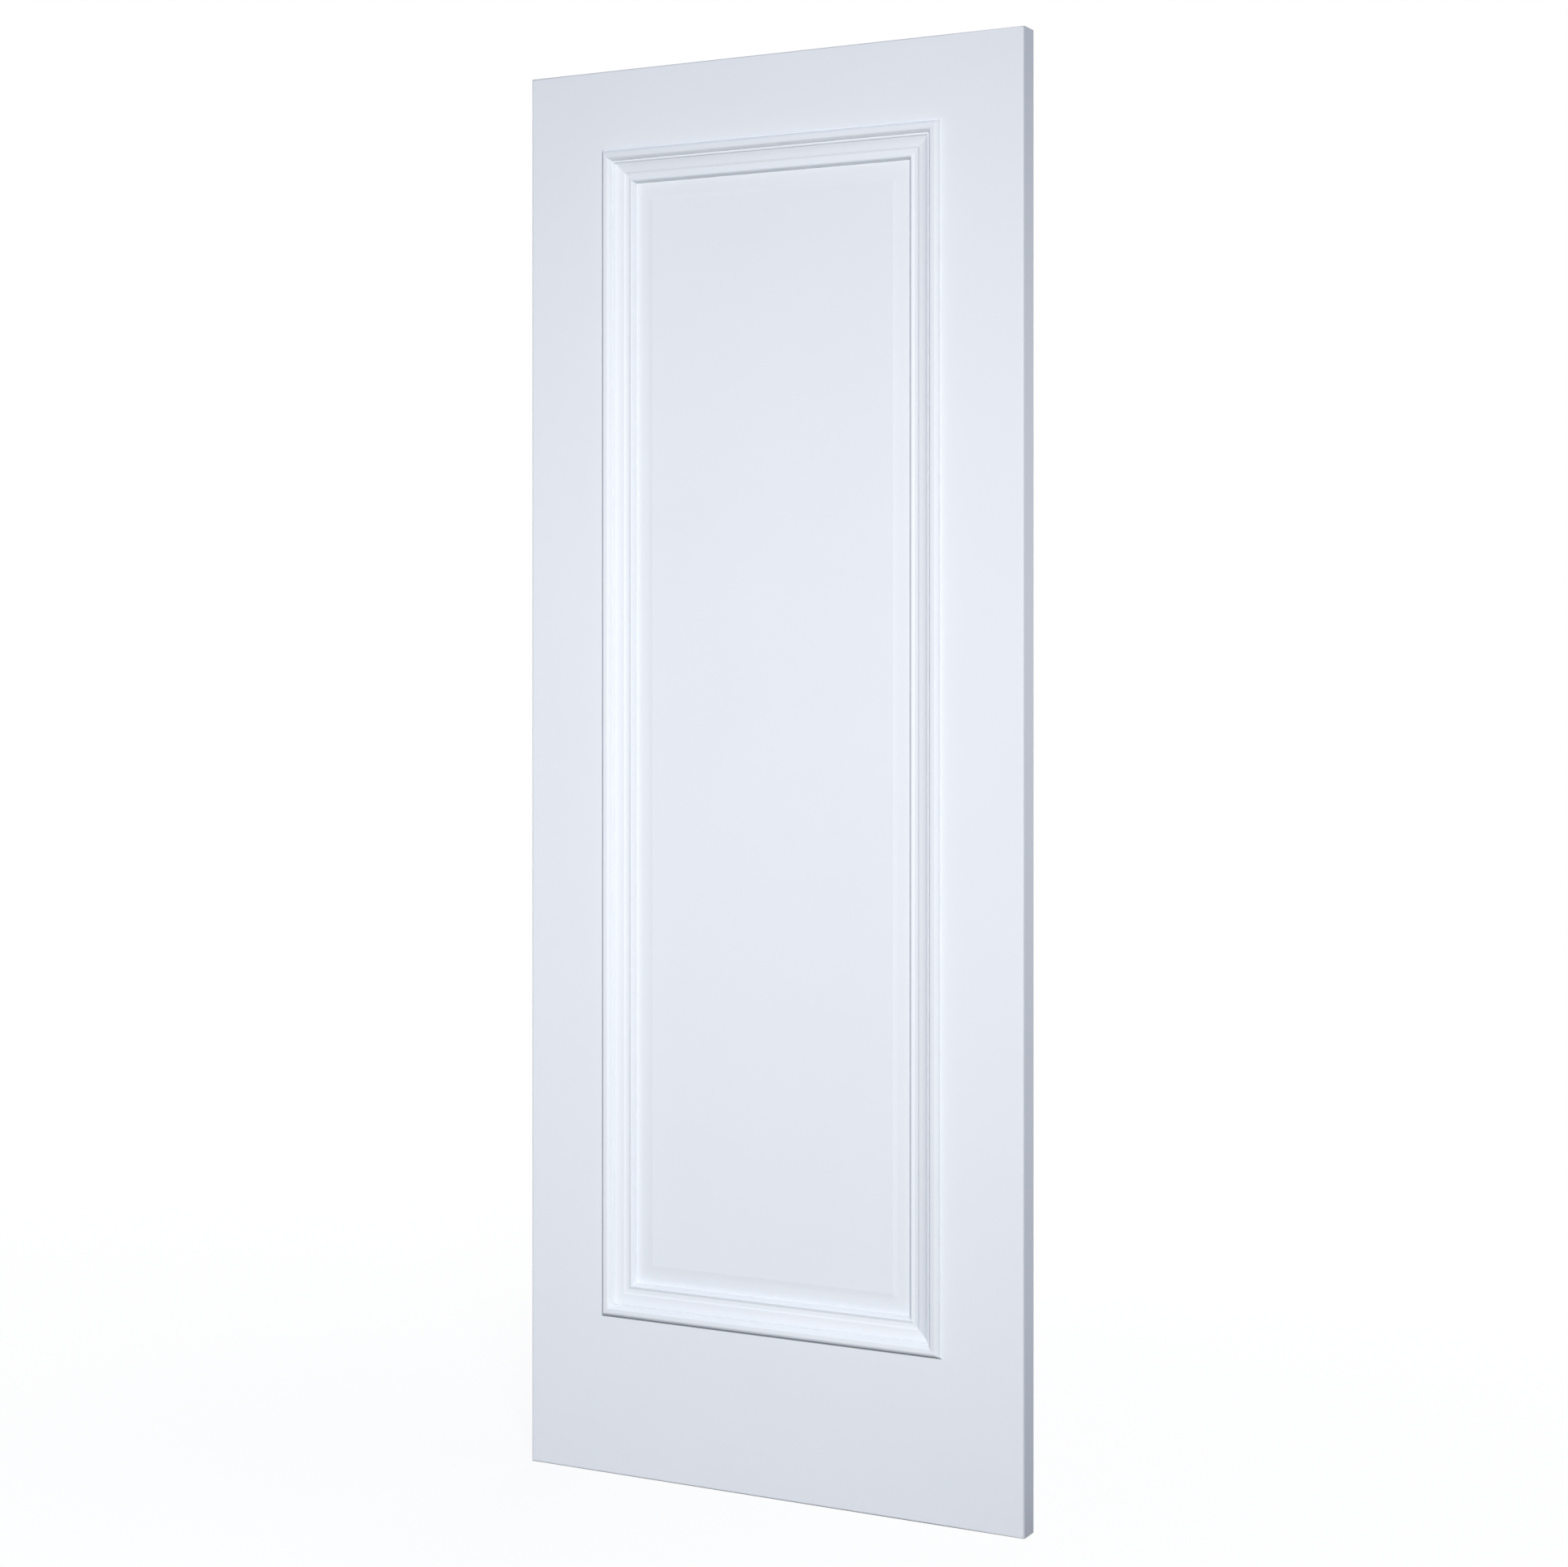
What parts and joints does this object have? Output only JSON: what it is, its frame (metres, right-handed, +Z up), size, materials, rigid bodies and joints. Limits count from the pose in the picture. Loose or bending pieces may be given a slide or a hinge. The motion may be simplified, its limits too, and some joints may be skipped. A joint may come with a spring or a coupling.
{
  "type": "panelled door slab",
  "caption": "White primed door slab with a tall raised and fielded panel in a mitred bolection moulding, hung by its hinge edge.",
  "frame": {"origin": "foot of the hinge edge, at mid thickness, on the face of the edge lipping", "axes": "+X across the leaf from the hinge edge to the lock edge, +Z up, front face looks along -Y"},
  "size_m": [0.762, 0.0526, 1.981],
  "materials": {
    "primed_facing": "satin",
    "primed_core": "satin",
    "primed_lipping": "satin",
    "primed_panel": "satin",
    "primed_moulding": "satin"
  },
  "bodies": {
    "root": {"hinge_stile_front_facing": "primed_facing", "hinge_stile_back_facing": "primed_facing", "lock_stile_front_facing": "primed_facing", "lock_stile_back_facing": "primed_facing", "top_rail_front_facing": "primed_facing", "top_rail_back_facing": "primed_facing", "bottom_rail_front_facing": "primed_facing", "bottom_rail_back_facing": "primed_facing", "hinge_stile_core": "primed_core", "lock_stile_core": "primed_core", "top_rail_core": "primed_core", "bottom_rail_core": "primed_core", "hinge_stile_lipping": "primed_lipping", "lock_stile_lipping": "primed_lipping", "panel": "primed_panel", "front_moulding_top": "primed_moulding", "front_moulding_bottom": "primed_moulding", "front_moulding_hinge_side": "primed_moulding", "front_moulding_lock_side": "primed_moulding", "back_moulding_top": "primed_moulding", "back_moulding_bottom": "primed_moulding", "back_moulding_hinge_side": "primed_moulding", "back_moulding_lock_side": "primed_moulding"}
  },
  "joints": []
}
